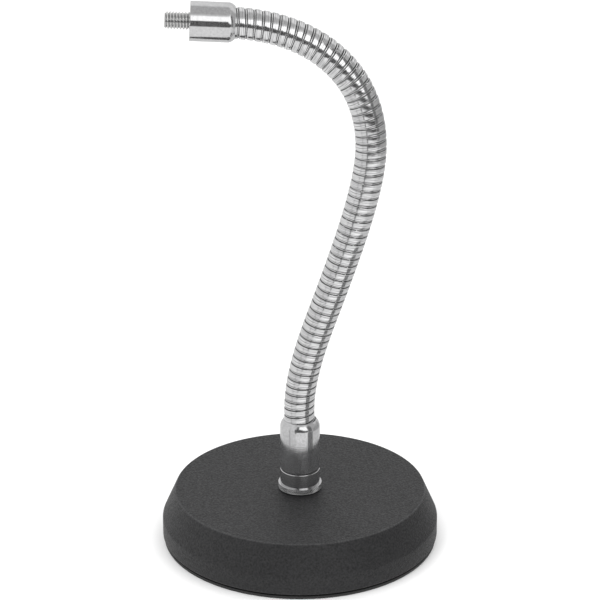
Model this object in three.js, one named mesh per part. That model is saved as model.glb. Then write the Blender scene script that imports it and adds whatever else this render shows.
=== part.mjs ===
// Desktop microphone stand: cast base, lock collar, gooseneck between two ferrules, threaded stud.
// Millimetres, +Z up. The origin is the middle of the base's underside, on the table.
// The gooseneck rises from the base, leans towards +X and curls over towards -X.
// Each link of the neck is a rigid stand-in for a few turns of the two wires that are wound together.

import * as THREE from 'three';

// ---- driving dimensions ------------------------------------------------------------------------

const GAP = 0.3;                    // air left between two pieces that touch

// base
const BASE_RADIUS = 75;
const BASE_HEIGHT = 29.3;
const BAND_TOP = 13.2;              // height where the upright band turns into the skirt
const RIM_RADIUS = 68;              // edge of the flat top
const BASE_WALL_INNER_RADIUS = 62;
const BASE_CEILING = 19.5;          // underside of the top plate, inside the recess
const BOSS_RADIUS = 20;
const BOSS_BOTTOM = 16;
const FOOT_HEIGHT = 2;
const FOOT_INNER_RADIUS = 64.5;
const FOOT_OUTER_RADIUS = 74.2;

// stud through the base, 5/8 in - 27 thread
const BASE_STUD_RADIUS = 7.8;
const BASE_STUD_BOTTOM = 3.6;
const BASE_STUD_TOP = 60;
const STUD_CLEARANCE_RADIUS = 8.2;
const WASHER_RADIUS = 15.5;
const WASHER_THICKNESS = 1.8;
const LOCK_WASHER_RADIUS = 13;
const LOCK_WASHER_THICKNESS = 2;
const LOCK_WASHER_SLIT = THREE.MathUtils.degToRad(14);
const NUT_ACROSS_FLATS = 23.8;
const NUT_HEIGHT = 6.4;

// lock collar
const COLLAR_RADIUS = 10.65;
const COLLAR_TOP = 41.1;
const FLANGE_RADIUS = 12;
const FLANGE_HEIGHT = 3.3;

// ferrules
const LOWER_FERRULE_BOTTOM = 41.4;
const LOWER_FERRULE_MOUTH = 70.5;
const LOWER_FERRULE_RADIUS = 10.8;
const UPPER_FERRULE_LENGTH = 23.3;
const UPPER_FERRULE_RADIUS = 10.4;
const SHOULDER_CORNER = 2.25;       // below the mouth: where the shoulder's slope would meet the side
const SHOULDER_ROUNDING = 2.6;      // from that corner to each end of its curve
const MOUTH_LIP = 0.25;
const SOCKET_DEPTH = 6;             // how far the neck goes into the upper ferrule
const WEB_HOLE_RADIUS = 4.5;

// mic stud, 3/8 in - 16 thread
const MIC_STUD_RADIUS = 4.76;
const MIC_STUD_DEPTH = 0.85;        // thread depth
const MIC_STUD_PITCH = 25.4 / 16;
const MIC_STUD_OUT = 13;
const MIC_STUD_IN = 8;

// gooseneck
const PITCH = 4.26;                 // advance of the two wires in one turn
const LINKS = 22;
const TURNS_PER_LINK = 3;
const OUTER_WIRE_RADIUS = 8.3;
const OUTER_WIRE_INNER_RADIUS = 6.8;
const GROOVE_WIDTH = 0.86;
const GROOVE_DEPTH = 0.9;
const INNER_WIRE_RADIUS = 6.45;
const INNER_WIRE_INNER_RADIUS = 4.9;
const SHARPEST_LINK_ANGLE = THREE.MathUtils.degToRad(16);
// Lean from upright towards +X, and lean backwards towards +Y, in degrees, at even steps along the neck.
const NECK_LEAN = [-4, 11, 18, 18, 16, 8, -16, -47, -72, -87];
const NECK_BACK_LEAN = [0, -4, 2, 5, -2];
const NECK_START = 65;              // height of the neck's lower end, inside the ferrule
const NECK_STEP = 0.5;

// how finely round things are cut
const BASE_SIDES = 48;
const SLEEVE_SIDES = 32;
const OUTER_WIRE_SIDES = 14;
const INNER_WIRE_SIDES = 10;
const CORNER_STEPS = 3;
const THREAD_SIDES = 14;
const THREAD_STEPS_PER_TURN = 5;

// ---- materials ---------------------------------------------------------------------------------

const MATERIALS = {
  powderCoat: { color: 0x3e3e40, roughness: 0.62, metalness: 0.1 },
  rubber: { color: 0x161616, roughness: 0.85, metalness: 0 },
  chrome: { color: 0xd4d6d8, roughness: 0.08, metalness: 1 },
  blackChrome: { color: 0x8c8e91, roughness: 0.14, metalness: 1 },
  springSteel: { color: 0xb4b6b9, roughness: 0.22, metalness: 1 },
  zinc: { color: 0xaeb1b3, roughness: 0.35, metalness: 1 },
};

const stand = new THREE.Group();

function addPiece(name, geometry, finish, parent = stand) {
  const mesh = new THREE.Mesh(geometry, new THREE.MeshStandardMaterial(MATERIALS[finish]));
  mesh.name = name;
  parent.add(mesh);
  return mesh;
}

// ---- shape helpers -----------------------------------------------------------------------------

// Turns a closed outline around the Z axis. A corner is [radius, height] or [radius, height, rounding].
// The corners go round the material with it on their left: outwards along the bottom, then upwards.
function turned(corners, sides) {
  const path = new THREE.Path();
  corners.forEach(([radius, height, rounding = 0], index) => {
    const corner = new THREE.Vector2(radius, height);
    const [beforeRadius, beforeHeight] = corners[(index + corners.length - 1) % corners.length];
    const [afterRadius, afterHeight] = corners[(index + 1) % corners.length];
    const before = new THREE.Vector2(beforeRadius, beforeHeight);
    const after = new THREE.Vector2(afterRadius, afterHeight);
    const from = corner.clone().add(before.sub(corner).setLength(rounding));
    const to = corner.clone().add(after.sub(corner).setLength(rounding));
    if (index === 0) {
      path.moveTo(from.x, from.y);
    } else {
      path.lineTo(from.x, from.y);
    }
    if (rounding > 0) {
      path.quadraticCurveTo(corner.x, corner.y, to.x, to.y);
    }
  });
  path.closePath();
  const geometry = new THREE.LatheGeometry(path.getPoints(CORNER_STEPS), sides);
  return geometry.rotateX(Math.PI / 2);
}

// A flat ring or nut blank: an outline with a round hole, extruded upwards from a height.
function punched(outline, holeRadius, bottom, thickness) {
  const hole = new THREE.Path();
  hole.absarc(0, 0, holeRadius, 0, 2 * Math.PI, true);
  outline.holes.push(hole);
  const options = { depth: thickness, bevelEnabled: false, curveSegments: SLEEVE_SIDES / 2 };
  return new THREE.ExtrudeGeometry(outline, options).translate(0, 0, bottom);
}

// A right-handed threaded rod on the Z axis, with a chamfer at both ends.
function threadedRod(radius, depth, pitch, bottom, length) {
  const rows = Math.round(length / pitch * THREAD_STEPS_PER_TURN);
  const geometry = new THREE.CylinderGeometry(radius, radius, length, THREAD_SIDES, rows);
  geometry.rotateX(Math.PI / 2).translate(0, 0, bottom + length / 2);
  const place = geometry.attributes.position;
  for (let i = 0; i < place.count; i += 1) {
    const x = place.getX(i);
    const y = place.getY(i);
    const height = place.getZ(i);
    const reach = Math.hypot(x, y);
    if (reach > radius / 2) {
      const turns = height / pitch - Math.atan2(y, x) / (2 * Math.PI);
      const flank = 2 * Math.abs(turns - Math.round(turns));
      const fromEnd = Math.min(height - bottom, bottom + length - height);
      const crest = Math.min(radius - depth * flank, radius - depth + fromEnd);
      place.setXY(i, x * crest / reach, y * crest / reach);
    }
  }
  return geometry;
}

// ---- gooseneck centreline ----------------------------------------------------------------------

const NECK_LENGTH = LINKS * TURNS_PER_LINK * PITCH;

// A smooth value that passes through evenly spaced knots, for a share from 0 to 1.
function throughKnots(knots) {
  const curve = new THREE.SplineCurve(knots.map((value, index) => new THREE.Vector2(index, value)));
  return (share) => THREE.MathUtils.degToRad(curve.getPoint(share).y);
}

// The centreline, followed in small steps from the bottom of the lower socket.
function followNeck() {
  const lean = throughKnots(NECK_LEAN);
  const backLean = throughKnots(NECK_BACK_LEAN);
  const count = Math.round(NECK_LENGTH / NECK_STEP);
  const step = NECK_LENGTH / count;
  const points = [new THREE.Vector3(0, 0, NECK_START)];
  let heading = new THREE.Vector3();
  for (let i = 0; i < count; i += 1) {
    const share = (i + 0.5) / count;
    const side = lean(share);
    const back = backLean(share);
    heading = new THREE.Vector3(
      Math.sin(side) * Math.cos(back),
      Math.sin(back),
      Math.cos(side) * Math.cos(back),
    );
    points.push(points[i].clone().addScaledVector(heading, step));
  }
  return { points, step, endHeading: heading };
}

const neck = followNeck();

function neckPoint(distance) {
  const place = Math.min(distance / neck.step, neck.points.length - 1);
  const index = Math.min(Math.floor(place), neck.points.length - 2);
  return neck.points[index].clone().lerp(neck.points[index + 1], place - index);
}

// A group whose Z axis points along a direction, standing at a point.
function frameAt(point, direction) {
  const group = new THREE.Group();
  group.position.copy(point);
  group.quaternion.setFromUnitVectors(new THREE.Vector3(0, 0, 1), direction);
  stand.add(group);
  return group;
}

// ---- base --------------------------------------------------------------------------------------

function addBase() {
  const casting = turned([
    [STUD_CLEARANCE_RADIUS, BOSS_BOTTOM],
    [BOSS_RADIUS, BOSS_BOTTOM],
    [BOSS_RADIUS + 2, BASE_CEILING],
    [BASE_WALL_INNER_RADIUS - 4, BASE_CEILING],
    [BASE_WALL_INNER_RADIUS, FOOT_HEIGHT + GAP],
    [BASE_RADIUS, FOOT_HEIGHT + GAP, 1.2],
    [BASE_RADIUS, BAND_TOP, 1.8],
    [RIM_RADIUS, BASE_HEIGHT],
    [STUD_CLEARANCE_RADIUS, BASE_HEIGHT],
  ], BASE_SIDES);
  addPiece('base_casting', casting, 'powderCoat');

  const footRing = turned([
    [FOOT_INNER_RADIUS, 0],
    [FOOT_OUTER_RADIUS, 0, 0.5],
    [FOOT_OUTER_RADIUS, FOOT_HEIGHT],
    [FOOT_INNER_RADIUS, FOOT_HEIGHT],
  ], BASE_SIDES);
  addPiece('foot_ring', footRing, 'rubber');
}

// ---- stud through the base and what clamps it ---------------------------------------------------

function addBaseStud() {
  const stud = turned([
    [0, BASE_STUD_BOTTOM],
    [BASE_STUD_RADIUS - 1, BASE_STUD_BOTTOM],
    [BASE_STUD_RADIUS, BASE_STUD_BOTTOM + 1],
    [BASE_STUD_RADIUS, BASE_STUD_TOP - 1],
    [BASE_STUD_RADIUS - 1, BASE_STUD_TOP],
    [0, BASE_STUD_TOP],
  ], SLEEVE_SIDES);
  addPiece('base_stud', stud, 'zinc');

  const washerBottom = BOSS_BOTTOM - GAP - WASHER_THICKNESS;
  const washerOutline = new THREE.Shape();
  washerOutline.absarc(0, 0, WASHER_RADIUS, 0, 2 * Math.PI);
  const washer = punched(washerOutline, STUD_CLEARANCE_RADIUS, washerBottom, WASHER_THICKNESS);
  addPiece('stud_washer', washer, 'zinc');

  const lockWasherBottom = washerBottom - GAP - LOCK_WASHER_THICKNESS;
  const split = new THREE.Shape();
  split.absarc(0, 0, LOCK_WASHER_RADIUS, LOCK_WASHER_SLIT / 2, 2 * Math.PI - LOCK_WASHER_SLIT / 2);
  split.absarc(0, 0, STUD_CLEARANCE_RADIUS, 2 * Math.PI - LOCK_WASHER_SLIT / 2, LOCK_WASHER_SLIT / 2, true);
  const lockWasher = new THREE.ExtrudeGeometry(split, {
    depth: LOCK_WASHER_THICKNESS,
    bevelEnabled: false,
    curveSegments: SLEEVE_SIDES / 2,
  });
  addPiece('stud_lock_washer', lockWasher.translate(0, 0, lockWasherBottom), 'zinc');

  const hexagon = new THREE.Shape();
  hexagon.setFromPoints([0, 1, 2, 3, 4, 5].map((corner) => {
    const angle = corner * Math.PI / 3;
    const reach = NUT_ACROSS_FLATS / 2 / Math.cos(Math.PI / 6);
    return new THREE.Vector2(reach * Math.cos(angle), reach * Math.sin(angle));
  }));
  const nutBottom = lockWasherBottom - GAP - NUT_HEIGHT;
  addPiece('stud_nut', punched(hexagon, STUD_CLEARANCE_RADIUS, nutBottom, NUT_HEIGHT), 'zinc');
}

// ---- lock collar and lower ferrule -------------------------------------------------------------

function addCollar() {
  const bottom = BASE_HEIGHT + GAP;
  const collar = turned([
    [STUD_CLEARANCE_RADIUS, bottom],
    [FLANGE_RADIUS, bottom, 0.4],
    [FLANGE_RADIUS, bottom + FLANGE_HEIGHT, 1],
    [COLLAR_RADIUS, bottom + FLANGE_HEIGHT],
    [COLLAR_RADIUS, COLLAR_TOP, 0.5],
    [STUD_CLEARANCE_RADIUS, COLLAR_TOP],
  ], SLEEVE_SIDES);
  addPiece('lock_collar', collar, 'blackChrome');
}

function addLowerFerrule() {
  const socketFloor = NECK_START - GAP;
  const socketRadius = OUTER_WIRE_RADIUS + GAP;
  const ferrule = turned([
    [STUD_CLEARANCE_RADIUS, LOWER_FERRULE_BOTTOM],
    [LOWER_FERRULE_RADIUS - 0.6, LOWER_FERRULE_BOTTOM],
    [LOWER_FERRULE_RADIUS, LOWER_FERRULE_BOTTOM + 0.6],
    [LOWER_FERRULE_RADIUS, LOWER_FERRULE_MOUTH - SHOULDER_CORNER, SHOULDER_ROUNDING],
    [socketRadius + MOUTH_LIP, LOWER_FERRULE_MOUTH],
    [socketRadius, LOWER_FERRULE_MOUTH],
    [socketRadius, socketFloor],
    [WEB_HOLE_RADIUS, socketFloor],
    [WEB_HOLE_RADIUS, BASE_STUD_TOP + 1],
    [STUD_CLEARANCE_RADIUS, BASE_STUD_TOP + 1],
  ], SLEEVE_SIDES);
  addPiece('lower_ferrule', ferrule, 'chrome');
}

// ---- gooseneck ---------------------------------------------------------------------------------

// One link of the outer wire: a sleeve with a groove where one turn meets the next.
function outerWireLink(start, end) {
  const corners = [
    [OUTER_WIRE_INNER_RADIUS, start],
    [OUTER_WIRE_RADIUS, start],
  ];
  for (let turn = 1; turn < TURNS_PER_LINK; turn += 1) {
    const groove = turn * PITCH;
    corners.push([OUTER_WIRE_RADIUS, groove - GROOVE_WIDTH / 2]);
    corners.push([OUTER_WIRE_RADIUS - GROOVE_DEPTH, groove]);
    corners.push([OUTER_WIRE_RADIUS, groove + GROOVE_WIDTH / 2]);
  }
  corners.push([OUTER_WIRE_RADIUS, end]);
  corners.push([OUTER_WIRE_INNER_RADIUS, end]);
  return turned(corners, OUTER_WIRE_SIDES);
}

// One link of the inner wire, seen only as the plain sleeve that its turns fill.
function innerWireLink(start, end) {
  return turned([
    [INNER_WIRE_INNER_RADIUS, start],
    [INNER_WIRE_RADIUS, start],
    [INNER_WIRE_RADIUS, end],
    [INNER_WIRE_INNER_RADIUS, end],
  ], INNER_WIRE_SIDES);
}

// The links lie on chords of the centreline. Each end stops short of the joint between two links,
// far enough that neighbours stay clear at the sharpest bend.
function addNeck() {
  const endGap = OUTER_WIRE_RADIUS * Math.tan(SHARPEST_LINK_ANGLE / 2) + GAP / 2;
  const reach = TURNS_PER_LINK * PITCH;
  for (let link = 0; link < LINKS; link += 1) {
    const from = neckPoint(link * reach);
    const to = neckPoint((link + 1) * reach);
    const length = from.distanceTo(to);
    const frame = frameAt(from, to.sub(from).normalize());
    const start = link === 0 ? 0 : endGap;
    const end = link === LINKS - 1 ? length : length - endGap;
    const number = String(link + 1).padStart(2, '0');
    addPiece(`outer_wire_${number}`, outerWireLink(start, end), 'chrome', frame);
    addPiece(`inner_wire_${number}`, innerWireLink(start, end), 'springSteel', frame);
  }
}

// ---- head: upper ferrule and mic stud ----------------------------------------------------------

function addHead() {
  const neckEnd = neckPoint(NECK_LENGTH);
  const mouth = neckEnd.addScaledVector(neck.endHeading, -SOCKET_DEPTH);
  const frame = frameAt(mouth, neck.endHeading);
  const socketRadius = OUTER_WIRE_RADIUS + GAP;
  const studBore = MIC_STUD_RADIUS + GAP;
  const studFloor = UPPER_FERRULE_LENGTH - MIC_STUD_IN - GAP;
  const ferrule = turned([
    [0, SOCKET_DEPTH + GAP],
    [socketRadius, SOCKET_DEPTH + GAP],
    [socketRadius, 0],
    [socketRadius + MOUTH_LIP, 0],
    [UPPER_FERRULE_RADIUS, SHOULDER_CORNER, SHOULDER_ROUNDING],
    [UPPER_FERRULE_RADIUS, UPPER_FERRULE_LENGTH - 0.3],
    [UPPER_FERRULE_RADIUS - 0.3, UPPER_FERRULE_LENGTH],
    [studBore, UPPER_FERRULE_LENGTH],
    [studBore, studFloor],
    [0, studFloor],
  ], SLEEVE_SIDES);
  addPiece('upper_ferrule', ferrule, 'chrome', frame);

  const studBottom = UPPER_FERRULE_LENGTH - MIC_STUD_IN;
  const studLength = MIC_STUD_IN + MIC_STUD_OUT;
  const stud = threadedRod(MIC_STUD_RADIUS, MIC_STUD_DEPTH, MIC_STUD_PITCH, studBottom, studLength);
  addPiece('mic_stud', stud, 'springSteel', frame);
}

addBase();
addBaseStud();
addCollar();
addLowerFerrule();
addNeck();
addHead();

export default stand;
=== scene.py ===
"""Looks of the desktop microphone stand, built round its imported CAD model. Metres, +Z up."""

import math

import bmesh
import bpy
import numpy as np
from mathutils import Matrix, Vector


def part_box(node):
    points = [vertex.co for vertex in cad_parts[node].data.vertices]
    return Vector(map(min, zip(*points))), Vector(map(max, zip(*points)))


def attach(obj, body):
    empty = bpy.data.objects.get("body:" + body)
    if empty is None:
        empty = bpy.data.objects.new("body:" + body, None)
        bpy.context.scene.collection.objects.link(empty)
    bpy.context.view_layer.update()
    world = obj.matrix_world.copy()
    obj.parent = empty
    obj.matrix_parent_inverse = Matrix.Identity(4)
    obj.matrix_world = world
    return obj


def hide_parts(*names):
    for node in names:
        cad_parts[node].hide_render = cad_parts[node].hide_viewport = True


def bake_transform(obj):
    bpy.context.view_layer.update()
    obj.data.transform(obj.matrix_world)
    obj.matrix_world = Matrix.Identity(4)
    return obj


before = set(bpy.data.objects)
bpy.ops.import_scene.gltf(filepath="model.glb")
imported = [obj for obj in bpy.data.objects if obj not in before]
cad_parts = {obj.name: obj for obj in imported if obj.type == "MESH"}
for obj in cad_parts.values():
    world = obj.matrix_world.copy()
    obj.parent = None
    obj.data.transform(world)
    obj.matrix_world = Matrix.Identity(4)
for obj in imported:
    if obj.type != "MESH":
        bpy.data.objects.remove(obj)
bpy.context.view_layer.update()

MM = 0.001
TAU = 2 * math.pi


# ---- places and sizes -----------------------------------------------------------------------

def radius_of(node):
    low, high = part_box(node)
    return (high[0] - low[0]) / 2


# the base, as the CAD lays it out
CASTING_LOW, CASTING_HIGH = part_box("base_casting")
BASE_RADIUS = radius_of("base_casting")
BASE_TOP = CASTING_HIGH[2]
RIM_RADIUS = BASE_RADIUS * 68 / 75
BAND_TOP = 13.2 * MM                    # where the upright band turns into the skirt
BASE_CEILING = 19.5 * MM                # underside of the top plate, inside the recess
RECESS_RADIUS = 62 * MM
BOSS_RADIUS = 20 * MM
BOSS_BOTTOM = 16 * MM
FOOT_INNER_RADIUS = 64.5 * MM
FOOT_LIP = 1.7 * MM                     # height of the part of the foot ring that shows
FOOT_RECESS = 3 * MM                    # how far the ring steps in above its lip
TURNED_SIDES = 256

# the stud through the base, 5/8 in - 27 thread, and what it holds
STUD_LOW, STUD_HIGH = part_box("base_stud")
STUD_RADIUS = radius_of("base_stud")
STUD_HOLE = STUD_RADIUS + 0.4 * MM
BASE_STUD_PITCH = 25.4 / 27 * MM
BASE_STUD_DEPTH = 0.55 * MM
COLLAR_LOW, COLLAR_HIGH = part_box("lock_collar")
FLANGE_RADIUS = radius_of("lock_collar") - 0.2 * MM
FLANGE_HEIGHT = 3.3 * MM
SLEEVE_RADIUS = 10.75 * MM
KNURLS = 72
KNURL_DEPTH = 0.22 * MM
KNURL_HALF_WIDTH = 0.22                 # as a share of the distance between two grooves
KNURL_RUN_OUT = 0.15 * MM
KNURL_ROWS = 36
SIDES_PER_KNURL = 12

# ferrules
FERRULE_LOW, FERRULE_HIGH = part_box("lower_ferrule")
FERRULE_RADIUS = radius_of("lower_ferrule")
FERRULE_CHAMFER = 0.55 * MM
WEB_HOLE_RADIUS = 4.5 * MM
UPPER_FERRULE_RADIUS = 10.4 * MM
UPPER_FERRULE_LENGTH = 23.3 * MM
SOCKET_DEPTH = 6 * MM
SOCKET_RADIUS = 8.48 * MM
SOCKET_GAP = 0.3 * MM                   # left between the neck's end and the socket's floor
SHOULDER_CORNER = 2.3 * MM
SHOULDER_ROUNDING = 6 * MM
UPPER_SHOULDER_ROUNDING = 0.8 * SHOULDER_ROUNDING
FERRULE_SIDES = 192

# the stud at the head, 3/8 in - 16 thread
MIC_STUD_RADIUS = 4.76 * MM
MIC_STUD_PITCH = 25.4 / 16 * MM
MIC_STUD_DEPTH = 1.05 * MM
MIC_STUD_OUT = 13 * MM
MIC_STUD_IN = 8 * MM
MIC_STUD_GAP = 0.3 * MM
STUD_SIDES = 96

# the gooseneck, as the CAD lays it out
PITCH = 4.26 * MM                       # advance of the two wires in one turn
LINKS = 22
TURNS_PER_LINK = 3
LINK_LENGTH = TURNS_PER_LINK * PITCH
NECK_LENGTH = LINKS * LINK_LENGTH
NECK_LEAN = (-4, 11, 18, 18, 16, 8, -16, -47, -72, -87)
NECK_BACK_LEAN = (0, -4, 2, 5, -2)
NECK_START = 65 * MM
NECK_COUNT = round(NECK_LENGTH / (0.25 * MM))
WIRE_RADIUS = 8.3 * MM

# the outer wire's section, and the inner one's
CROWN_RISE = 0.06 * MM
CROWN_HALF_WIDTH = 1.74 * MM
CROWN_CORNER = 0.24 * MM
ROOT_HALF_WIDTH = 0.42 * MM
WEDGE_DEPTH = 2 * MM
INNER_WIRE_HALF = 0.65 * MM
INNER_WIRE_SUNK = 0.42 * MM


# ---- materials ------------------------------------------------------------------------------

def new_material(name):
    material = bpy.data.materials.new(name)
    material.use_nodes = True
    tree = material.node_tree
    shader = tree.nodes["Principled BSDF"]
    place = tree.nodes.new("ShaderNodeTexCoord").outputs["Object"]
    return material, tree, shader, place


def math_node(tree, operation, first, second=0.0):
    node = tree.nodes.new("ShaderNodeMath")
    node.operation = operation
    for socket, value in zip(node.inputs, (first, second)):
        if isinstance(value, (int, float)):
            socket.default_value = value
        else:
            tree.links.new(value, socket)
    return node.outputs[0]


def uv_map(tree, name):
    node = tree.nodes.new("ShaderNodeUVMap")
    node.uv_map = name
    return node.outputs["UV"]


def noise(tree, place, scale, detail, stretch=(1, 1, 1)):
    """A noise value between about 0.3 and 0.7; scale counts cells in a metre."""
    mapping = tree.nodes.new("ShaderNodeMapping")
    mapping.inputs["Scale"].default_value = stretch
    tree.links.new(place, mapping.inputs["Vector"])
    node = tree.nodes.new("ShaderNodeTexNoise")
    node.inputs["Scale"].default_value = scale
    node.inputs["Detail"].default_value = detail
    tree.links.new(mapping.outputs["Vector"], node.inputs["Vector"])
    return node.outputs["Fac"]


def remap(tree, value, low, high, from_low=0.3, from_high=0.7):
    node = tree.nodes.new("ShaderNodeMapRange")
    node.inputs["From Min"].default_value = from_low
    node.inputs["From Max"].default_value = from_high
    node.inputs["To Min"].default_value = low
    node.inputs["To Max"].default_value = high
    tree.links.new(value, node.inputs["Value"])
    return node.outputs["Result"]


def blend_colours(tree, factor, first, second):
    node = tree.nodes.new("ShaderNodeMix")
    node.data_type = "RGBA"
    node.inputs["A"].default_value = (*first, 1)
    node.inputs["B"].default_value = (*second, 1)
    tree.links.new(factor, node.inputs["Factor"])
    return node.outputs["Result"]


def cover_colour(tree, factor, under, colour):
    """Covers one colour output with a plain colour, as far as the factor says."""
    node = tree.nodes.new("ShaderNodeMix")
    node.data_type = "RGBA"
    tree.links.new(factor, node.inputs["Factor"])
    tree.links.new(under, node.inputs["A"])
    node.inputs["B"].default_value = (*colour, 1)
    return node.outputs["Result"]


def components(tree, vector):
    node = tree.nodes.new("ShaderNodeSeparateXYZ")
    tree.links.new(vector, node.inputs[0])
    return node.outputs


def bump(tree, shader, height, distance):
    node = tree.nodes.new("ShaderNodeBump")
    node.inputs["Strength"].default_value = 1
    node.inputs["Distance"].default_value = distance
    tree.links.new(height, node.inputs["Height"])
    tree.links.new(node.outputs["Normal"], shader.inputs["Normal"])


def metal(name, dark, light, rough, grain, grain_depth, stretch=(1, 1, 1)):
    """Plated metal: an uneven colour, polish and haze over a faint grain, or turning marks if stretched."""
    material, tree, shader, place = new_material(name)
    cloud = noise(tree, place, 700, 5)
    tree.links.new(blend_colours(tree, remap(tree, cloud, 0, 1), dark, light), shader.inputs["Base Color"])
    haze = noise(tree, place, 1700, 2)
    tree.links.new(remap(tree, haze, 0.86, 0.98), shader.inputs["Metallic"])
    wear = noise(tree, place, 420, 4)
    tree.links.new(remap(tree, wear, *rough), shader.inputs["Roughness"])
    bump(tree, shader, noise(tree, place, grain, 2, stretch), grain_depth)
    return material


def drawn_wire(name, dark, light, rough, shade_start):
    """Bright wire with fine lines along it and shallow dents, and painted shade darkening its flanks past a
    given reach from its crown's middle.
    """
    material, tree, shader, place = new_material(name)
    shader.inputs["Metallic"].default_value = 0.95
    on_wire = uv_map(tree, "along_wire")
    lines = noise(tree, on_wire, 1900, 2, (0.05, 1, 1))
    lined_colour = blend_colours(tree, remap(tree, lines, 0, 1), dark, light)
    # painted shade: past a given reach from the crown's middle, down the flanks into the furrow between
    # turns, the colour is covered with dark grey
    off_crown = math_node(tree, "ABSOLUTE", components(tree, on_wire)[1])
    furrow = remap(tree, off_crown, 0, 1, shade_start, shade_start + 0.12 * MM)
    tree.links.new(cover_colour(tree, furrow, lined_colour, (0.1, 0.1, 0.1)), shader.inputs["Base Color"])
    wear = noise(tree, place, 420, 4)
    tree.links.new(remap(tree, wear, *rough), shader.inputs["Roughness"])
    dents = noise(tree, place, 230, 1)
    height = math_node(tree, "ADD", math_node(tree, "MULTIPLY", dents, 8.0), lines)
    bump(tree, shader, height, 0.00001)
    return material


def grooved_metal(name, depth, crest, root, rough):
    """Cut metal with painted shade, its colour darkening from the crest colour to the root colour by the
    "groove" map's depth in metres.
    """
    material, tree, shader, place = new_material(name)
    haze = noise(tree, place, 1800, 3)
    below = components(tree, uv_map(tree, "groove"))[0]
    # painted shade: the deeper a point lies in a groove, the nearer its colour is to the darker root colour
    shade_depth = math_node(tree, "ADD", below, math_node(tree, "MULTIPLY", haze, depth * 0.2))
    colour = blend_colours(tree, remap(tree, shade_depth, 0, 1, 0, depth), crest, root)
    tree.links.new(colour, shader.inputs["Base Color"])
    shader.inputs["Metallic"].default_value = 0.95
    tree.links.new(remap(tree, haze, *rough), shader.inputs["Roughness"])
    bump(tree, shader, haze, 0.000006)
    return material


def hypotenuse(tree, first, second):
    squares = [math_node(tree, "MULTIPLY", side, side) for side in (first, second)]
    return math_node(tree, "SQRT", math_node(tree, "ADD", *squares))


def ring_mask(tree, place, radius, height, reach):
    """1 on a circle round the Z axis, falling to 0 within reach of it."""
    x, y, z = components(tree, place)
    out = math_node(tree, "SUBTRACT", hypotenuse(tree, x, y), radius)
    up = math_node(tree, "SUBTRACT", z, height)
    return remap(tree, hypotenuse(tree, out, up), 1, 0, 0, reach)


def powder_coat():
    """Dark grey crinkle powder coat over cast iron, with a painted highlight lightening the rim of the top.
    """
    material, tree, shader, place = new_material("powder_coat")
    cloud = noise(tree, place, 45, 4)
    grain = noise(tree, place, 1000, 3)
    fleck = noise(tree, place, 2600, 1)
    tone = math_node(tree, "ADD", math_node(tree, "MULTIPLY", cloud, 0.3), remap(tree, grain, 0, 0.9))
    colour = blend_colours(tree, tone, (0.0055, 0.0055, 0.006), (0.023, 0.023, 0.024))
    # painted highlight: a thin lighter line along the rounded rim of the top, where light catches the edge
    rim = ring_mask(tree, place, RIM_RADIUS, BASE_TOP, 0.8 * MM)
    with_rim_highlight = cover_colour(tree, math_node(tree, "MULTIPLY", rim, grain), colour, (0.07, 0.07, 0.072))
    tree.links.new(with_rim_highlight, shader.inputs["Base Color"])
    tree.links.new(remap(tree, grain, 0.62, 0.42), shader.inputs["Roughness"])
    shader.inputs["Specular IOR Level"].default_value = 0.36
    crinkle = math_node(tree, "ADD", grain, math_node(tree, "MULTIPLY", fleck, 0.35))
    bump(tree, shader, crinkle, 0.00028)
    return material


def rubber():
    """Matt black rubber, a little uneven in colour and polish."""
    material, tree, shader, place = new_material("foot_rubber")
    cloud = noise(tree, place, 160, 4)
    colour = blend_colours(tree, remap(tree, cloud, 0, 1), (0.014, 0.014, 0.014), (0.028, 0.028, 0.028))
    tree.links.new(colour, shader.inputs["Base Color"])
    tree.links.new(remap(tree, cloud, 0.6, 0.85), shader.inputs["Roughness"])
    bump(tree, shader, noise(tree, place, 2600, 2), 0.00006)
    return material


CHROME = metal("chrome_plate", (0.53, 0.53, 0.535), (0.62, 0.62, 0.625), (0.06, 0.14), 900, 0.000004)
TURNED_CHROME = metal(
    "turned_chrome", (0.52, 0.52, 0.525), (0.61, 0.61, 0.615), (0.08, 0.15), 2600, 0.00001, (0.05, 0.05, 1),
)
# the second colour given to grooved_metal is the painted shade at the groove roots
COLLAR_CHROME = grooved_metal("collar_chrome", KNURL_DEPTH, (0.6, 0.6, 0.605), (0.2, 0.2, 0.2), (0.05, 0.1))
# the last number given to drawn_wire is where the painted furrow shade begins, measured from the crown's
# middle
NECK_CHROME = drawn_wire("neck_chrome", (0.4, 0.4, 0.405), (0.86, 0.86, 0.865), (0.1, 0.18), 1.8 * MM)
INNER_WIRE = drawn_wire("inner_wire_steel", (0.48, 0.48, 0.48), (0.72, 0.72, 0.725), (0.12, 0.2), 0.45 * MM)
STUD_STEEL = grooved_metal("stud_steel", MIC_STUD_DEPTH, (0.88, 0.88, 0.87), (0.5, 0.5, 0.5), (0.1, 0.22))
ZINC = metal("zinc_plate", (0.36, 0.37, 0.39), (0.48, 0.48, 0.47), (0.24, 0.42), 1500, 0.00002)
POWDER_COAT = powder_coat()
RUBBER = rubber()


# ---- mesh helpers ---------------------------------------------------------------------------

def make_object(name, points, faces, material):
    mesh = bpy.data.meshes.new(name)
    mesh.from_pydata([tuple(p) for p in points], [], faces)
    mesh.materials.append(material)
    mesh.shade_smooth()
    thing = bpy.data.objects.new(name, mesh)
    bpy.context.scene.collection.objects.link(thing)
    return thing


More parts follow.
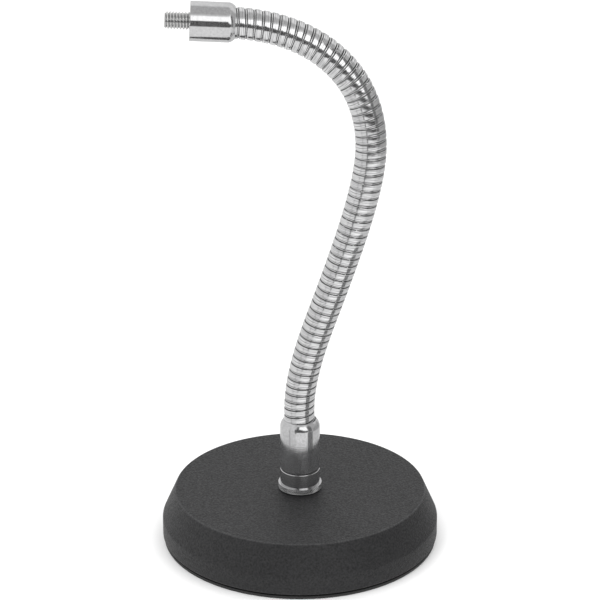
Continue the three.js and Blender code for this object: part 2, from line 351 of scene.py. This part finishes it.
def rounded(corners, steps):
    """A closed outline whose corners (radius, height, rounding) are replaced by arcs."""
    points = []
    count = len(corners)
    for index, corner in enumerate(corners):
        here = Vector(corner[:2])
        rounding = corner[2] if len(corner) > 2 else 0
        if rounding == 0:
            points.append(here)
            continue
        before = (Vector(corners[index - 1][:2]) - here).normalized()
        after = (Vector(corners[(index + 1) % count][:2]) - here).normalized()
        half = before.angle(after) / 2
        reach = rounding / math.tan(half)
        centre = here + (before + after).normalized() * (rounding / math.sin(half))
        first = here + before * reach - centre
        last = here + after * reach - centre
        sweep = first.angle_signed(last)
        for step in range(steps + 1):
            turn = -sweep * step / steps
            cos, sin = math.cos(turn), math.sin(turn)
            arm = Vector((first.x * cos - first.y * sin, first.x * sin + first.y * cos))
            points.append(centre + arm)
    return np.array([tuple(p) for p in points])


def outline_normals(points):
    """Unit normals at both ends of each segment of a closed outline, sharp past 32 degrees."""
    smooth = math.cos(math.radians(32))
    forward = np.roll(points, -1, axis=0) - points
    length = np.linalg.norm(forward, axis=1)
    length[length == 0] = 1e-12
    flat = np.stack([forward[:, 1], -forward[:, 0]], axis=1) / length[:, None]
    count = len(points)
    start, end = flat.copy(), flat.copy()
    for i in range(count):
        previous = i - 1
        if flat[i] @ flat[previous] > smooth:
            mean = flat[i] * length[i] + flat[previous] * length[previous]
            mean /= np.linalg.norm(mean)
            start[i] = mean
            end[previous] = mean
    return start, end


def revolve(name, outline, sides, material):
    """Turns a closed outline (radius, height), anticlockwise round its material, about the Z axis."""
    count = len(outline)
    angles = np.arange(sides) * TAU / sides
    ring = np.stack([np.cos(angles), np.sin(angles)], axis=1)
    points = np.empty((sides, count, 3))
    points[:, :, 0] = ring[:, 0, None] * outline[None, :, 0]
    points[:, :, 1] = ring[:, 1, None] * outline[None, :, 0]
    points[:, :, 2] = outline[None, :, 1]
    start, end = outline_normals(outline)
    on_axis = outline[:, 0] < 1e-9
    flat_points = [tuple(p) for p in points.reshape(-1, 3)]
    faces, normals = [], []

    def index(side, corner):
        if on_axis[corner]:
            return corner
        return (side % sides) * count + corner

    def normal(side, pair):
        cos, sin = ring[side % sides]
        return (pair[0] * cos, pair[0] * sin, pair[1])

    for side in range(sides):
        for corner in range(count):
            following = (corner + 1) % count
            if on_axis[corner] and on_axis[following]:
                continue
            loop = [
                (index(side, corner), normal(side, start[corner])),
                (index(side + 1, corner), normal(side + 1, start[corner])),
                (index(side + 1, following), normal(side + 1, end[corner])),
                (index(side, following), normal(side, end[corner])),
            ]
            kept = {}
            for point, at_point in loop:    # a corner on the axis counts once
                kept.setdefault(point, at_point)
            faces.append(list(kept))
            normals.extend(kept.values())
    used = sorted({i for face in faces for i in face})
    place = {old: new for new, old in enumerate(used)}
    faces = [[place[i] for i in face] for face in faces]
    thing = make_object(name, [flat_points[i] for i in used], faces, material)
    thing.data.normals_split_custom_set(normals)
    return thing


def sleeve_grid(name, inner_radius, heights, radius_at, sides, material, crease=35):
    """A closed sleeve, or a rod if inner_radius is 0, whose outside radius is radius_at(angle, height)."""
    angles = np.arange(sides) * TAU / sides
    rows = len(heights)
    a, h = np.meshgrid(angles, heights)
    r = radius_at(a, h)
    points = list(zip((r * np.cos(a)).ravel(), (r * np.sin(a)).ravel(), h.ravel()))
    faces = []
    for row in range(rows - 1):
        for side in range(sides):
            following = (side + 1) % sides
            low, high = row * sides, (row + 1) * sides
            faces.append([low + side, low + following, high + following, high + side])
    top = (rows - 1) * sides
    if inner_radius == 0:
        faces.append(list(range(sides))[::-1])
        faces.append(list(range(top, top + sides)))
    else:
        bore = len(points)
        for height in (heights[0], heights[-1]):
            points += [(inner_radius * math.cos(t), inner_radius * math.sin(t), height) for t in angles]
        for side in range(sides):
            following = (side + 1) % sides
            low, high = bore, bore + sides
            faces.append([low + following, low + side, high + side, high + following])
            faces.append([following, side, low + side, low + following])
            faces.append([top + side, top + following, high + following, high + side])
    thing = make_object(name, points, faces, material)
    thing.data.set_sharp_from_angle(angle=math.radians(crease))
    return thing


def finish_piece(thing, body, slot, *nodes):
    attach(thing, body)
    if nodes:
        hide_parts(*nodes)
    return thing


# ---- base -----------------------------------------------------------------------------------

def base_pieces():
    """The casting, hollow underneath round a boss for the stud, and the rubber ring that it stands on."""
    bottom = CASTING_LOW[2]
    outline = rounded([
        (STUD_HOLE, BOSS_BOTTOM, 0.4 * MM),
        (BOSS_RADIUS, BOSS_BOTTOM, 1.2 * MM),
        (BOSS_RADIUS + 2 * MM, BASE_CEILING, 1.5 * MM),
        (RECESS_RADIUS - 4 * MM, BASE_CEILING, 2.5 * MM),
        (RECESS_RADIUS, bottom, 0.6 * MM),
        (BASE_RADIUS, bottom, 1.5 * MM),
        (BASE_RADIUS, BAND_TOP, 2.6 * MM),
        (RIM_RADIUS, BASE_TOP, 0.5 * MM),
        (STUD_HOLE, BASE_TOP, 0.3 * MM),
    ], 8)
    casting = revolve("base_body", outline, TURNED_SIDES, POWDER_COAT)
    finish_piece(casting, "base", "powder_coat", "base_casting")

    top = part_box("foot_ring")[1][2]
    foot_radius = radius_of("foot_ring")
    outline = rounded([
        (FOOT_INNER_RADIUS, 0, 0.3 * MM),
        (foot_radius, 0, 0.5 * MM),
        (foot_radius, FOOT_LIP, 0.2 * MM),
        (foot_radius - FOOT_RECESS, FOOT_LIP, 0.1 * MM),
        (foot_radius - FOOT_RECESS, top, 0.1 * MM),
        (FOOT_INNER_RADIUS, top, 0.3 * MM),
    ], 4)
    ring = revolve("foot_ring_rubber", outline, TURNED_SIDES, RUBBER)
    finish_piece(ring, "base", "foot_rubber", "foot_ring")


# ---- stud through the base, with its washers and nut ----------------------------------------

def thread_radius(radius, depth, pitch, low, high, thread_top):
    """The radius of a right-handed thread with flat crests and chamfered ends, plain past its top."""
    crest_share, flank_share = 0.14, 0.72
    plain = radius - depth * 0.35
    end_radius = radius - depth * 1.1

    def at(angle, height):
        turns = height / pitch - angle / TAU
        from_crest = 2 * np.abs(turns - np.round(turns))
        threaded = radius - depth * np.clip((from_crest - crest_share) / flank_share, 0, 1)
        run_out = np.clip((height - thread_top) / pitch, 0, 1)
        profile = threaded * (1 - run_out) + plain * run_out
        from_end = np.minimum(height - low, high - height)
        return np.minimum(profile, end_radius + from_end)
    return at


def stud_pieces():
    """The base stud is threaded below the casting, where its thread can be seen, and plain above."""
    thread_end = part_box("stud_nut")[1][2] + 2 * MM
    rows = np.concatenate([
        np.arange(STUD_LOW[2], thread_end, BASE_STUD_PITCH / 8),
        np.linspace(thread_end, STUD_HIGH[2], 60),
    ])
    radius_at = thread_radius(
        STUD_RADIUS, BASE_STUD_DEPTH, BASE_STUD_PITCH, STUD_LOW[2], STUD_HIGH[2], thread_end,
    )
    stud = sleeve_grid("base_stud_threaded", 0, rows, radius_at, STUD_SIDES, ZINC)
    finish_piece(stud, "base", "zinc_hardware", "base_stud")
    flat_washer()
    lock_washer()
    nut()


def flat_washer():
    low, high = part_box("stud_washer")
    washer_radius = radius_of("stud_washer")
    outline = rounded([
        (STUD_HOLE, low[2], 0.2 * MM),
        (washer_radius, low[2], 0.35 * MM),
        (washer_radius, high[2], 0.35 * MM),
        (STUD_HOLE, high[2], 0.2 * MM),
    ], 4)
    washer = revolve("stud_washer_flat", outline, 128, ZINC)
    finish_piece(washer, "base", "zinc_hardware", "stud_washer")


def lock_washer():
    """A split spring washer: a square section swept almost once round, with bevelled edges."""
    low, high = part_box("stud_lock_washer")
    outer = high[1]
    bevel = 0.25 * MM
    section = rounded([
        (STUD_HOLE, low[2], bevel),
        (outer, low[2], bevel),
        (outer, high[2], bevel),
        (STUD_HOLE, high[2], bevel),
    ], 3)
    half_slit = math.radians(7)
    steps = 96
    points, faces = [], []
    count = len(section)
    for step in range(steps + 1):
        angle = half_slit + (TAU - 2 * half_slit) * step / steps
        points += [(r * math.cos(angle), r * math.sin(angle), z) for r, z in section]
    for step in range(steps):
        for corner in range(count):
            following = (corner + 1) % count
            a, b = step * count, (step + 1) * count
            faces.append([a + corner, b + corner, b + following, a + following])
    faces.append(list(range(count)))
    faces.append(list(range(steps * count, (steps + 1) * count))[::-1])
    thing = make_object("stud_lock_washer_split", points, faces, ZINC)
    thing.data.set_sharp_from_angle(angle=math.radians(50))
    finish_piece(thing, "base", "zinc_hardware", "stud_lock_washer")


def nut():
    """A hexagon nut: a hexagonal outline cut back by a 30 degree cone at both faces."""
    low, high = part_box("stud_nut")
    corner_reach = high[0]
    flat = high[1]
    cone_height = 1.2 * MM
    heights = np.concatenate([
        np.linspace(low[2], low[2] + cone_height, 7),
        np.linspace(high[2] - cone_height, high[2], 7),
    ])

    def radius_at(angle, height):
        within = (angle + TAU / 12) % (TAU / 6) - TAU / 12
        hexagon = flat / np.cos(np.abs(TAU / 12 - np.abs(within)))
        from_end = np.minimum(height - low[2], high[2] - height)
        cone = flat - 0.4 * MM + from_end / math.tan(math.radians(30))
        return np.minimum(np.minimum(hexagon, corner_reach), cone)

    thing = sleeve_grid("stud_nut_hex", STUD_HOLE, heights, radius_at, 120, ZINC, crease=25)
    finish_piece(thing, "base", "zinc_hardware", "stud_nut")


# ---- lock collar and lower ferrule ----------------------------------------------------------

def mark_grooves(mesh, radius, low, high):
    """UV map "groove": how far each point between two heights lies inside the radius, in metres."""
    layer = mesh.uv_layers.new(name="groove")
    for loop in mesh.loops:
        x, y, z = mesh.vertices[loop.vertex_index].co
        depth = radius - np.hypot(x, y) if low < z < high else 0
        layer.data[loop.index].uv = (depth, 0)


def collar():
    """The collar's smooth sleeve stands on a flange whose edge is cut with a diamond knurl."""
    bottom, top = COLLAR_LOW[2], COLLAR_HIGH[2]
    flange_top = bottom + FLANGE_HEIGHT
    under, edge = 0.5 * MM, 0.12 * MM
    round_steps = np.linspace(0, math.pi / 2, 6)
    low_arc = [(bottom + under * (1 - math.cos(t)), -under * (1 - math.sin(t))) for t in round_steps]
    side = [(z, 0.0) for z in np.linspace(bottom + under, flange_top - edge, KNURL_ROWS)[1:-1]]
    high_arc = [(flange_top - edge * (1 - math.sin(t)), -edge * (1 - math.cos(t))) for t in round_steps]
    heights, inset = np.array(low_arc + side + high_arc).T
    sides = KNURLS * SIDES_PER_KNURL
    angles = np.arange(sides) * TAU / sides
    a, h = np.meshgrid(angles, heights)
    rise = (h - bottom - under) / KNURL_RUN_OUT
    fall = (flange_top - edge - h) / KNURL_RUN_OUT
    fade = np.clip(rise, 0, 1) * np.clip(fall, 0, 1)
    knurl_pitch = TAU * FLANGE_RADIUS / KNURLS
    cut = 0
    for way in (-1, 1):
        phase = a / TAU * KNURLS + way * (h - bottom) / knurl_pitch
        cut = np.maximum(cut, 1 - np.abs((phase % 1) - 0.5) / KNURL_HALF_WIDTH)
    r = FLANGE_RADIUS + inset[:, None] - KNURL_DEPTH * np.clip(cut, 0, 1) * fade
    rows = list(np.stack([r * np.cos(a), r * np.sin(a), h], axis=2))
    for radius, height in rounded([
        (SLEEVE_RADIUS, flange_top, 0.1 * MM),
        (SLEEVE_RADIUS, top, 0.4 * MM),
        (STUD_HOLE, top, 0.2 * MM),
        (STUD_HOLE, bottom, 0.2 * MM),
    ], 4):
        level = np.full(sides, height)
        rows.append(np.stack([radius * np.cos(angles), radius * np.sin(angles), level], axis=1))
    faces = []
    count = len(rows)
    for row in range(count):
        low, high = row * sides, ((row + 1) % count) * sides
        for s in range(sides):
            following = (s + 1) % sides
            faces.append([low + s, low + following, high + following, high + s])
    thing = make_object("lock_collar_knurled", np.concatenate(rows), faces, COLLAR_CHROME)
    mark_grooves(thing.data, FLANGE_RADIUS, bottom + under, flange_top - edge)
    thing.data.set_sharp_from_angle(angle=math.radians(38))
    finish_piece(thing, "collar", "chrome", "lock_collar")


def lower_ferrule():
    """A sleeve with a web across it, between the base stud's bore and the neck's socket."""
    bottom, mouth = FERRULE_LOW[2], FERRULE_HIGH[2]
    socket_floor = NECK_START - SOCKET_GAP
    web_bottom = STUD_HIGH[2] + 1 * MM
    outline = rounded([
        (STUD_HOLE, bottom, 0.2 * MM),
        (FERRULE_RADIUS - FERRULE_CHAMFER, bottom, 0.1 * MM),
        (FERRULE_RADIUS, bottom + FERRULE_CHAMFER, 0.15 * MM),
        (FERRULE_RADIUS, mouth - SHOULDER_CORNER, SHOULDER_ROUNDING),
        (SOCKET_RADIUS + 0.2 * MM, mouth, 0.1 * MM),
        (SOCKET_RADIUS, mouth, 0.05 * MM),
        (SOCKET_RADIUS, socket_floor),
        (WEB_HOLE_RADIUS, socket_floor),
        (WEB_HOLE_RADIUS, web_bottom),
        (STUD_HOLE, web_bottom),
    ], 14)
    thing = revolve("lower_ferrule_chromed", outline, FERRULE_SIDES, TURNED_CHROME)
    finish_piece(thing, "neck_foot", "chrome", "lower_ferrule")


# ---- gooseneck ------------------------------------------------------------------------------

def through_knots(knots, share):
    """Catmull-Rom values through evenly spaced knots, in radians, for shares from 0 to 1."""
    values = np.radians(np.array(knots, float))
    last = len(values) - 1
    place = share * last
    index = np.minimum(place.astype(int), last - 1)
    t = place - index
    before, here = values[np.maximum(index - 1, 0)], values[index]
    after, beyond = values[index + 1], values[np.minimum(index + 2, last)]
    return 0.5 * (2 * here + (after - before) * t + (2 * before - 5 * here + 4 * after - beyond) * t ** 2
                  + (3 * here - before - 3 * after + beyond) * t ** 3)


def heading(share):
    """The neck's direction at shares of its length, from the tables of its lean."""
    lean = through_knots(NECK_LEAN, share)
    back = through_knots(NECK_BACK_LEAN, share)
    return np.stack([np.sin(lean) * np.cos(back), np.sin(back), np.cos(lean) * np.cos(back)], axis=1)


NECK_POINTS = np.array([0, 0, NECK_START]) + np.concatenate([
    np.zeros((1, 3)),
    np.cumsum(heading((np.arange(NECK_COUNT) + 0.5) / NECK_COUNT) * NECK_LENGTH / NECK_COUNT, axis=0),
])
NECK_END_HEADING = heading(np.array([1.0]))[0]


def neck_point(distance):
    marks = np.linspace(0, NECK_LENGTH, NECK_COUNT + 1)
    return np.stack([np.interp(distance, marks, NECK_POINTS[:, axis]) for axis in range(3)], axis=-1)


def neck_frame(distance):
    """The centreline point, the direction along the neck, and two directions across it."""
    along = heading(np.clip(distance / NECK_LENGTH, 0, 1))
    across = np.cross([0, 1, 0], along)
    across /= np.linalg.norm(across, axis=1)[:, None]
    return neck_point(distance), along, across, np.cross(along, across)


def outer_section():
    """The wedge-shaped wire: a nearly flat crown outside, and flanks that slope inwards to a narrow root."""
    crown = WIRE_RADIUS - CROWN_RISE
    half = CROWN_HALF_WIDTH
    points = rounded([
        (crown - WEDGE_DEPTH, ROOT_HALF_WIDTH, 0.15 * MM),
        (crown - WEDGE_DEPTH, -ROOT_HALF_WIDTH, 0.15 * MM),
        (crown, -half, CROWN_CORNER),
        (crown, half, CROWN_CORNER),
    ], 5)
    on_crown = points[:, 0] > crown - 0.01 * MM
    spread = np.linspace(-half + CROWN_CORNER, half - CROWN_CORNER, 7)[1:-1]
    seam = np.flatnonzero(on_crown)[np.argmax(np.diff(points[on_crown][:, 1]))] + 1
    points = np.insert(points, seam, np.stack([np.full(len(spread), crown), spread], axis=1), axis=0)
    arch = np.clip(1 - (points[:, 1] / half) ** 2, 0, 1)
    points[:, 0] += CROWN_RISE * arch * (points[:, 0] > crown - 0.2 * MM)
    return points


def round_section():
    """The round wire, lying in the furrow between two turns of the wedge-shaped one, nearly flush with it."""
    centre = WIRE_RADIUS - INNER_WIRE_SUNK - INNER_WIRE_HALF
    turn = np.arange(16) * TAU / 16
    out, along = INNER_WIRE_HALF * np.cos(turn), INNER_WIRE_HALF * np.sin(turn)
    return np.stack([centre + out, PITCH / 2 + along], axis=1)


def wire(name, section, start, end, steps_per_turn, material):
    """A stretch of right-handed helical wire round the neck's centreline, from start to end along it."""
    steps = round((end - start) / PITCH * steps_per_turn)
    distance = np.linspace(start, end, steps + 1)
    centre, along, across, beside = neck_frame(distance)
    phase = (TAU * distance / PITCH)[:, None]
    out = np.cos(phase) * across + np.sin(phase) * beside
    count = len(section)
    edge = np.roll(section, -1, axis=0) - np.roll(section, 1, axis=0)
    facing = np.stack([-edge[:, 1], edge[:, 0]], axis=1)
    ahead = np.roll(section, -1, axis=0)
    area = np.sum(section[:, 0] * ahead[:, 1] - ahead[:, 0] * section[:, 1])
    facing *= -np.sign(area) / np.linalg.norm(facing, axis=1)[:, None]
    r, a = section[None, :, 0, None], section[None, :, 1, None]
    points = centre[:, None] + r * out[:, None] + a * along[:, None]
    normals = facing[None, :, 0, None] * out[:, None] + facing[None, :, 1, None] * along[:, None]
    order = [(k, (k + 1) % count) for k in range(count)]
    if area > 0:
        order = [(b, k) for k, b in order]
    faces = []
    for step in range(steps):
        low, high = step * count, (step + 1) * count
        for k, b in order:
            faces.append([low + k, low + b, high + b, high + k])
    cap = list(range(count))
    if area > 0:
        cap = cap[::-1]
    faces.append(cap[::-1])
    faces.append([steps * count + k for k in cap])
    thing = make_object(name, points.reshape(-1, 3), faces, material)
    thing.data.normals_split_custom_set_from_vertices(normals.reshape(-1, 3).tolist())
    from_crown = section[:, 1] - (section[:, 1].min() + section[:, 1].max()) / 2
    from_crown += np.sign(from_crown) * (section[:, 0].max() - section[:, 0])
    lay_along(thing.data, count, TAU * WIRE_RADIUS / steps_per_turn, from_crown)
    return thing


def lay_along(mesh, count, step_length, reach):
    """UV map "along_wire" in metres: U along the wire, V from its crown's middle out and down its flanks."""
    corners = np.empty(len(mesh.loops), dtype=np.int32)
    mesh.loops.foreach_get("vertex_index", corners)
    values = np.stack([corners // count * step_length, reach[corners % count]], axis=1)
    layer = mesh.uv_layers.new(name="along_wire")
    layer.data.foreach_set("uv", values.astype(np.float32).ravel())


def gooseneck():
    """Each wire is cut in the middle of every link, so that each piece spans one joint."""
    bodies = ["neck_foot"] + [f"neck_link_{k:02d}" for k in range(2, LINKS)] + ["head"]
    kinds = (
        ("outer_wire", "chrome", outer_section(), 56, NECK_CHROME),
        ("inner_wire", "neck_inner", round_section(), 36, INNER_WIRE),
    )
    for kind, slot, section, steps, material in kinds:
        foot = wire(f"{kind}_foot_end", section, 0, LINK_LENGTH / 2, steps, material)
        finish_piece(foot, bodies[0], slot)
        for joint in range(1, LINKS):
            start, end = (joint - 0.5) * LINK_LENGTH, (joint + 0.5) * LINK_LENGTH
            piece = wire(f"{kind}_turns_{joint:02d}", section, start, end, steps, material)
            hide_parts(f"{kind}_{joint:02d}")
            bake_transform(piece)
        head = wire(f"{kind}_head_end", section, NECK_LENGTH - LINK_LENGTH / 2, NECK_LENGTH, steps, material)
        finish_piece(head, bodies[-1], slot, f"{kind}_{LINKS:02d}")


# ---- head: upper ferrule and mic stud -------------------------------------------------------

def stand_on_neck(thing):
    """Moves a piece built up the Z axis to the neck's end, with Z along the neck's last direction."""
    along = Vector(NECK_END_HEADING)
    turn = Vector((0, 0, 1)).rotation_difference(along)
    mouth = Vector(NECK_POINTS[-1]) - along * SOCKET_DEPTH
    matrix = turn.to_matrix().to_4x4()
    matrix.translation = mouth
    thing.data.transform(matrix)
    return thing


def head_pieces():
    """The ferrule has a socket for the neck at one end and a bore for the stud at the other."""
    radius = UPPER_FERRULE_RADIUS
    length = UPPER_FERRULE_LENGTH
    bore = MIC_STUD_RADIUS + MIC_STUD_GAP
    bore_floor = length - MIC_STUD_IN - MIC_STUD_GAP
    socket_floor = SOCKET_DEPTH + SOCKET_GAP
    outline = rounded([
        (0, socket_floor),
        (SOCKET_RADIUS, socket_floor),
        (SOCKET_RADIUS, 0, 0.05 * MM),
        (SOCKET_RADIUS + 0.2 * MM, 0, 0.1 * MM),
        (radius, SHOULDER_CORNER, UPPER_SHOULDER_ROUNDING),
        (radius, length, 0.22 * MM),
        (bore, length, 0.25 * MM),
        (bore, bore_floor),
        (0, bore_floor),
    ], 14)
    ferrule = stand_on_neck(revolve("upper_ferrule_chromed", outline, FERRULE_SIDES, CHROME))
    finish_piece(ferrule, "head", "chrome", "upper_ferrule")

    low, high = length - MIC_STUD_IN, length + MIC_STUD_OUT
    just_inside = length - 2 * MM
    rows = np.concatenate([
        np.linspace(low, just_inside, 6),
        np.arange(just_inside + 0.1 * MM, high, MIC_STUD_PITCH / 14),
        [high],
    ])
    radius_at = thread_radius(MIC_STUD_RADIUS, MIC_STUD_DEPTH, MIC_STUD_PITCH, low, high, high)
    stud = sleeve_grid("mic_stud_threaded", 0, rows, radius_at, STUD_SIDES, STUD_STEEL)
    mark_grooves(stud.data, MIC_STUD_RADIUS, length, high)
    finish_piece(stand_on_neck(stud), "head", "stud_steel", "mic_stud")


base_pieces()
stud_pieces()
collar()
lower_ferrule()
gooseneck()
head_pieces()


# ---- camera, floor and light ----------------------------------------------------------------

CAMERA_PLACE = (0, -1.5, 0.7782)
CAMERA_DIP = 23.05                      # degrees below level
CAMERA_LENS = 184.06                    # mm


def camera():
    data = bpy.data.cameras.new("camera")
    data.sensor_width = 36
    data.lens = CAMERA_LENS
    data.clip_start = 0.05
    data.clip_end = 50
    thing = bpy.data.objects.new("camera", data)
    thing.location = CAMERA_PLACE
    thing.rotation_euler = (math.radians(90 - CAMERA_DIP), 0, 0)
    bpy.context.scene.collection.objects.link(thing)
    bpy.context.scene.camera = thing


def soft_step(tree, value, edge, softness):
    """Rises smoothly from 0 to 1 across an edge, over twice the softness."""
    node = tree.nodes.new("ShaderNodeMapRange")
    node.interpolation_type = "SMOOTHSTEP"
    node.inputs["From Min"].default_value = edge - softness
    node.inputs["From Max"].default_value = edge + softness
    tree.links.new(value, node.inputs["Value"])
    return node.outputs["Result"]


def between(tree, value, low, high, softness):
    rise = soft_step(tree, value, low, softness)
    fall = soft_step(tree, value, high, softness)
    return math_node(tree, "SUBTRACT", rise, fall)


# What the chrome sees all round, as panels of a light tent. Each panel spans azimuths, from the
# front towards the right, and elevations, in degrees, with the softness of its edges and its brightness.
TENT_TONE = 0.85
TENT_PANELS = (
    (-400, 400, 58, 100, 7, 0.52),      # overhead
    (-400, -110, 30, 66, 8, 0.95),      # back wall on the left
    (110, 400, 30, 66, 8, 0.95),        # back wall on the right
    (74, 400, -100, 0, 5, 0.76),        # floor on the right
    (74, 140, -20, 16, 6, 0.42),        # low wall on the right
    (58, 110, 14, 60, 8, 0.5),          # high wall on the right
    (135, 400, 8, 32, 8, 0.8),          # back wall low on the right
    (-24, 50, -75, -5, 4, 1.05),        # floor in front
    (-4, 44, 14, 50, 4, 1.75),          # softbox in front
    (-22, -5, 0, 52, 3, 0.12),          # dark flank on its left
    (-30, 8, -9, 23, 3, 0.05),          # dark gap under the softbox, sloping down to the right
    (6, 17, -10, 17, 3, 0.04),          # the gap further right
    (15, 27, -10, 9, 3, 0.04),          # and further
    (24, 46, -9, 5, 3, 0.03),           # and its lower end
    (28, 45, 9, 24, 3, 1.6),            # softbox showing over its lower end
    (47, 72, -12, 44, 4, 0.15),         # dark panel on the right
    (-28, -20, -22, -8, 2, 0.25),       # dark leg on the left
    (-66, -58, -40, 2, 2, 0.6),         # fold in the left wall
)
CARD = (44, 76, 0.115, 0.29)            # a dark card on the floor: azimuths, nearest and farthest radius
CARD_TONE = 0.2


def glow_material(name):
    """A material that only gives off light, with its tree and its emission shader."""
    material = bpy.data.materials.new(name)
    material.use_nodes = True
    material.cycles.emission_sampling = "NONE"
    tree = material.node_tree
    tree.nodes.clear()
    emission = tree.nodes.new("ShaderNodeEmission")
    output = tree.nodes.new("ShaderNodeOutputMaterial")
    tree.links.new(emission.outputs[0], output.inputs["Surface"])
    return material, tree, emission


def tent_material():
    material, tree, emission = glow_material("light_tent")
    unit = tree.nodes.new("ShaderNodeVectorMath")
    unit.operation = "NORMALIZE"
    tree.links.new(tree.nodes.new("ShaderNodeTexCoord").outputs["Object"], unit.inputs[0])
    x, y, z = components(tree, unit.outputs[0])
    front = math_node(tree, "MULTIPLY", y, -1.0)
    azimuth = math_node(tree, "MULTIPLY", math_node(tree, "ARCTAN2", x, front), math.degrees(1))
    elevation = math_node(tree, "MULTIPLY", math_node(tree, "ARCSINE", z), math.degrees(1))
    light = None
    for left, right, low, high, softness, brightness in TENT_PANELS:
        across = between(tree, azimuth, left, right, softness)
        upwards = between(tree, elevation, low, high, softness)
        node = tree.nodes.new("ShaderNodeMix")
        tree.links.new(math_node(tree, "MULTIPLY", across, upwards), node.inputs["Factor"])
        if light is None:
            node.inputs["A"].default_value = TENT_TONE
        else:
            tree.links.new(light, node.inputs["A"])
        node.inputs["B"].default_value = brightness
        light = node.outputs["Result"]
    tree.links.new(light, emission.inputs["Strength"])
    return material


def stage_for_gloss(name, mesh, place=(0, 0, 0)):
    """Adds an object that only shows in glossy surfaces."""
    thing = bpy.data.objects.new(name, mesh)
    thing.location = place
    thing.visible_camera = False
    thing.visible_diffuse = False
    thing.visible_transmission = False
    thing.visible_shadow = False
    bpy.context.scene.collection.objects.link(thing)


def light_tent():
    """A ball round the whole scene that only shows in glossy surfaces."""
    mesh = bpy.data.meshes.new("light_tent")
    form = bmesh.new()
    bmesh.ops.create_icosphere(form, subdivisions=4, radius=3)
    form.to_mesh(mesh)
    form.free()
    mesh.materials.append(tent_material())
    stage_for_gloss("light_tent", mesh, (0, 0, 0.15))


def dark_card():
    """A strip of dark card lying on the floor to the right, which only shows in glossy surfaces."""
    left, right, near, far = CARD
    turns = np.radians(np.linspace(left, right, 9))
    arc = [(math.sin(t), -math.cos(t)) for t in turns]
    points = [(radius * x, radius * y, 1 * MM) for radius in (near, far) for x, y in arc]
    count = len(arc)
    mesh = bpy.data.meshes.new("dark_card")
    mesh.from_pydata(points, [], [(k, k + 1, count + k + 1, count + k) for k in range(count - 1)])
    material, _, emission = glow_material("card")
    emission.inputs["Strength"].default_value = CARD_TONE
    mesh.materials.append(material)
    stage_for_gloss("dark_card", mesh)


def floor():
    material = bpy.data.materials.new("floor_white")
    material.use_nodes = True
    shader = material.node_tree.nodes["Principled BSDF"]
    shader.inputs["Base Color"].default_value = (0.88, 0.88, 0.88, 1)
    shader.inputs["Roughness"].default_value = 0.9
    shader.inputs["Specular IOR Level"].default_value = 0.1
    half = 8
    corners = [(-half, -half, 0), (half, -half, 0), (half, half, 0), (-half, half, 0)]
    mesh = bpy.data.meshes.new("floor")
    mesh.from_pydata(corners, [], [(0, 1, 2, 3)])
    mesh.materials.append(material)
    ground = bpy.data.objects.new("floor", mesh)
    ground.visible_glossy = False
    bpy.context.scene.collection.objects.link(ground)


def lamps():
    """Soft white surroundings and three large soft lamps, aimed at the stand."""
    world = bpy.data.worlds.new("studio")
    world.use_nodes = True
    background = world.node_tree.nodes["Background"]
    background.inputs["Color"].default_value = (1, 1, 1, 1)
    background.inputs["Strength"].default_value = 1.08
    bpy.context.scene.world = world
    for name, place, energy, width in (
        ("key_light", (-0.9, -0.9, 1.9), 14, 1.3),
        ("fill_light", (1.2, -0.4, 1.7), 8, 1.5),
        ("back_light", (0.2, 1.4, 1.8), 8, 1.5),
    ):
        data = bpy.data.lights.new(name, "AREA")
        data.energy = energy
        data.size = width
        lamp = bpy.data.objects.new(name, data)
        lamp.location = place
        towards_stand = Vector((0, 0, 0.1)) - Vector(place)
        lamp.rotation_euler = towards_stand.to_track_quat("-Z", "Y").to_euler()
        lamp.visible_camera = False
        lamp.visible_glossy = False
        bpy.context.scene.collection.objects.link(lamp)


camera()
floor()
light_tent()
dark_card()
lamps()
bpy.context.scene.view_settings.view_transform = "Standard"
